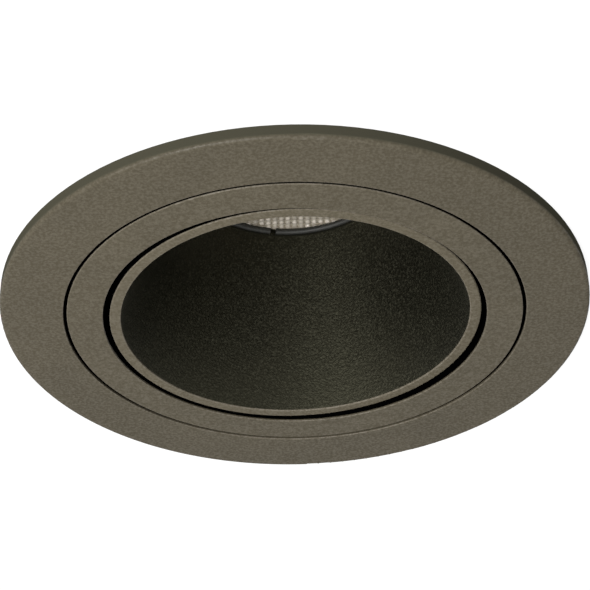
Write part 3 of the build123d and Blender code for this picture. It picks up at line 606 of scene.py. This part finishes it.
for inset, rise in pillow_steps:
    bmesh.ops.inset_individual(bm, faces=tops, thickness=inset, depth=rise, use_even_offset=True)
for number in range(round_cuts):
    turn = math.tau * number / round_cuts
    out = Vector((math.cos(turn), math.sin(turn), 0))
    whole = bm.verts[:] + bm.edges[:] + bm.faces[:]
    bmesh.ops.bisect_plane(bm, geom=whole, plane_co=out * pillow_field, plane_no=out, clear_outer=True)
bmesh.ops.translate(bm, vec=(0, 0, pillow_height), verts=bm.verts)
loop = grow(bm, [e for e in bm.edges if e.is_boundary], size=(1, 1, 0))
size = lens_radius / pillow_field
loop = grow(bm, loop, size=(size, size, 1))
reached, height = lens_radius, 0.0
for radius, top in lens_back:
    size = radius / reached
    loop = grow(bm, loop, size=(size, size, 1), move=(0, 0, top - height))
    reached, height = radius, top
bmesh.ops.holes_fill(bm, edges=loop, sides=0)
bmesh.ops.remove_doubles(bm, verts=bm.verts, dist=lens_weld)
bmesh.ops.recalc_face_normals(bm, faces=bm.faces)
bmesh.ops.translate(bm, vec=(0, 0, lens_front), verts=bm.verts)
bmesh.ops.transform(bm, matrix=head_place, verts=bm.verts)
lens = new_object("pillow_lens", bm, pillow_valley)
acrylic = grained("moulded acrylic", body=(0.38, 0.336, 0.262), pale=(0.448, 0.396, 0.309),
                  dark=(0.323, 0.286, 0.223), grains=240.0, rough=(0.12, 0.2), bump=(0.02, 0.02 * mm),
                  specular=1.0)
tree, shader = opened(acrylic)
place = own_place(tree, head_place @ Matrix.Translation(pillow_shift))
grid = vector_calc(tree, "MULTIPLY", place, (1 / pillow_pitch, 1 / pillow_pitch, 0))
cell = vector_calc(tree, "FLOOR", grid)
catch = add(tree, "ShaderNodeTexWhiteNoise", noise_dimensions="2D", inputs={"Vector": cell}).outputs["Value"]
within = vector_calc(tree, "FRACTION", grid)
off_centre = vector_calc(tree, "DISTANCE", within, (0.5, 0.5, 0), out="Value")
# Painted highlights: a pale spot on each pillow's crown, its strength random from cell to cell.
crown = calc(tree, "MULTIPLY", ramp(tree, off_centre, *crown_span), ramp(tree, catch, *catch_span))
colour = mix_colour(tree, crown, fed_by(shader.inputs["Base Color"]), painted_crown_glint)
tree.links.new(colour, shader.inputs["Base Color"])
shader.inputs["Transmission Weight"].default_value = clear_share
shader.inputs["IOR"].default_value = acrylic_bend
stand_in(lens, acrylic, "lens")

# Snap ring: a split ring of spring wire with a dark phosphate finish. It springs into the groove
# in the neck and holds the lens up there.
phosphated = grained("phosphated wire", body=(0.03, 0.03, 0.026), pale=(0.055, 0.055, 0.049),
                     dark=(0.015, 0.015, 0.013), grains=2200.0, rough=(0.48, 0.6), bump=(0.15, 0.05 * mm),
                     metallic=0.2)
dress(phosphated, "snap_ring")

# Lens seal and holder: a silicone ring above the lens's edge and a white nylon spacer that the
# heat sink presses down on it. The heat sink's own seal and the lamp's pad are silicone too.
silicone = grained("grey silicone", body=(0.26, 0.26, 0.27), pale=(0.32, 0.32, 0.33), dark=(0.2, 0.2, 0.21),
                   grains=700.0, rough=(0.5, 0.65), bump=(0.1, 0.05 * mm), specular=0.4)
dress(silicone, "lens_gasket", "heat_sink_o_ring", "thermal_pad")
dress(white_nylon, "optic_holder")

# Lamp: a yellow emitter on a white ceramic board, held against the heat sink by a black nylon
# clamp with two screws.
ceramic = grained("white ceramic", body=(0.78, 0.78, 0.75), pale=(0.84, 0.84, 0.82), dark=(0.68, 0.68, 0.65),
                  grains=1500.0, rough=(0.4, 0.55), bump=(0.1, 0.03 * mm))
phosphor = grained("yellow phosphor", body=(0.8, 0.55, 0.09), pale=(0.86, 0.64, 0.16), dark=(0.7, 0.45, 0.05),
                   grains=1800.0, rough=(0.25, 0.4), bump=(0.05, 0.02 * mm))
dress(ceramic, "led_board")
dress(phosphor, "led_emitter")
dress(black_nylon, "led_clamp")
dress(screw_steel, "led_clamp_screws")

# Heat sink: a cast aluminium base and core on the neck's flange, with stamped fins pressed into
# the core's slots, and four screws down into the flange.
cast_aluminium = grained("cast aluminium", body=(0.5, 0.5, 0.5), pale=(0.6, 0.6, 0.59),
                         dark=(0.36, 0.36, 0.36), grains=900.0, rough=(0.42, 0.62), bump=(0.35, 0.08 * mm),
                         metallic=1.0)
sheet_aluminium = grained("rolled aluminium", body=(0.58, 0.58, 0.58), pale=(0.68, 0.68, 0.67),
                          dark=(0.44, 0.44, 0.44), grains=1500.0, rough=(0.42, 0.6), bump=(0.12, 0.05 * mm),
                          metallic=1.0, stretch=(1, 1, 0.03))
eased("heat_sink", 0.25 * mm, cast_aluminium)
eased("heat_sink_fins", 0.2 * mm, sheet_aluminium)
eased("heat_sink_screws", 0.12 * mm, screw_steel)

# Cable gland: a black nylon body screwed into the heat sink's base, with a rubber seal and a
# clamping nut. No cable is in it.
rubber = grained("gland rubber", body=(0.018, 0.018, 0.018), pale=(0.035, 0.035, 0.035),
                 dark=(0.01, 0.01, 0.01), grains=1200.0, rough=(0.6, 0.8), bump=(0.2, 0.05 * mm),
                 specular=0.3)
eased("gland_body", 0.2 * mm, black_nylon)
eased("gland_nut", 0.25 * mm, black_nylon)
dress(rubber, "gland_seal")

# Clip brackets: two plated steel brackets riveted to flats on the collar, each with a headed pin
# for its clip.
for side in ("left", "right"):
    eased("clip_bracket_" + side, 0.15 * mm, zinc)
    eased("clip_pin_" + side, 0.15 * mm, zinc)
dress(zinc, "clip_rivets")

# Clip arms: tapering leaves of spring steel, stamped and bent, that swing on the pins and press on
# the ceiling's back.
for side in ("left", "right"):
    eased("clip_arm_" + side, 0.2 * mm, spring_steel)

# Clip sleeves: soft black vinyl, dipped over the tips of the arms so that they don't mark the
# ceiling.
clip_pivot = joint_place("clip_fold_right")
clip_slope = math.radians(15)
leaf_place = Matrix.Translation(clip_pivot) @ Matrix.Rotation(clip_slope, 4, "Y")
half_turn = {"right": Matrix(), "left": Matrix.Rotation(math.pi, 4, "Z")}
sleeve_start, sleeve_end = 19.5 * mm, 29.6 * mm
sleeve_bottom, sleeve_top = -4.85 * mm, -2.45 * mm
sleeve_half, sleeve_half_end = 7.99 * mm, 6.6 * mm
sleeve_corner, sleeve_corner_steps = 3.3 * mm, 6
sleeve_round, sleeve_round_steps = 0.8 * mm, 4
sleeve_wall = 0.5 * mm
sleeve_mouth = 4.0 * mm
sleeve_outline = ((sleeve_start, -sleeve_half), (sleeve_end, -sleeve_half_end), (sleeve_end, sleeve_half_end),
                  (sleeve_start, sleeve_half))


def mouth_face(bm):
    """The face of a sleeve where the arm goes in."""
    return min(bm.faces, key=lambda face: face.calc_center_median().x)


vinyl = grained("dipped vinyl", body=(0.022, 0.022, 0.022), pale=(0.04, 0.04, 0.04),
                dark=(0.014, 0.014, 0.014), grains=500.0, rough=(0.42, 0.56), bump=(0.1, 0.08 * mm),
                specular=0.35)
for side, turn in half_turn.items():
    bm = bmesh.new()
    outline = [bm.verts.new((reach, across, sleeve_bottom)) for reach, across in sleeve_outline]
    bm.faces.new(outline)
    bmesh.ops.bevel(bm, geom=outline[1:3], offset=sleeve_corner, segments=sleeve_corner_steps, profile=0.5,
                    affect="VERTICES", material=-1)
    raised = verts_among(bmesh.ops.extrude_face_region(bm, geom=bm.faces[:])["geom"])
    bmesh.ops.translate(bm, vec=(0, 0, sleeve_top - sleeve_bottom), verts=raised)
    bmesh.ops.recalc_face_normals(bm, faces=bm.faces)
    rim = set(mouth_face(bm).edges)
    long_edges = [e for e in bm.edges if e not in rim and e.calc_face_angle() > sharp_angle]
    bmesh.ops.bevel(bm, geom=long_edges, offset=sleeve_round, segments=sleeve_round_steps, profile=0.5,
                    affect="EDGES", material=-1)
    mouth = mouth_face(bm)
    bmesh.ops.inset_region(bm, faces=[mouth], thickness=sleeve_wall, depth=0)
    pocket = bmesh.ops.extrude_discrete_faces(bm, faces=[mouth])["faces"]
    bmesh.ops.translate(bm, vec=(sleeve_mouth, 0, 0), verts=pocket[0].verts)
    bmesh.ops.transform(bm, matrix=turn @ leaf_place, verts=bm.verts)
    bmesh.ops.recalc_face_normals(bm, faces=bm.faces)
    stand_in(even_shading(new_object("vinyl_sleeve_" + side, bm)), vinyl, "clip_sleeve_" + side)

# Clip springs: torsion springs wound from steel wire round the pins. One end stands on the
# bezel's collar and the other presses on the arm.
coil_radius = 2.4 * mm
coil_pitch = 1.9 * mm
coil_turn = math.radians(3 * 360 + 270) - clip_slope
coil_steps = 90
coil_half = coil_pitch * coil_turn / (2 * math.tau)
wire_radius = 0.6 * mm
wire_sides = 14
foot_z = 12.2 * mm
foot = Vector((clip_pivot.x + coil_radius, -coil_half, foot_z))
tail = Matrix.Rotation(clip_slope, 3, "Y") @ Vector((14.0 * mm, 0, 0))
for side, turn in half_turn.items():
    bm = bmesh.new()
    bmesh.ops.create_circle(bm, cap_ends=False, segments=wire_sides, radius=wire_radius,
                            matrix=Matrix.Translation(foot))
    loop = grow(bm, bm.edges[:], move=(0, 0, clip_pivot.z - foot_z))
    ring = list({v for e in loop for v in e.verts})
    wound = bmesh.ops.spin(bm, geom=ring + loop, axis=(0, -1, 0), cent=clip_pivot, angle=coil_turn,
                           steps=coil_steps, dvec=(0, 2 * coil_half / coil_steps, 0))["geom_last"]
    grow(bm, [e for e in wound if isinstance(e, bmesh.types.BMEdge)], move=tail)
    bmesh.ops.holes_fill(bm, edges=bm.edges, sides=0)
    bmesh.ops.recalc_face_normals(bm, faces=bm.faces)
    bmesh.ops.transform(bm, matrix=turn, verts=bm.verts)
    spring = new_object("wound_spring_" + side, bm)
    spring.data.materials.append(spring_steel)
    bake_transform(spring)
    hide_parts("clip_spring_" + side)
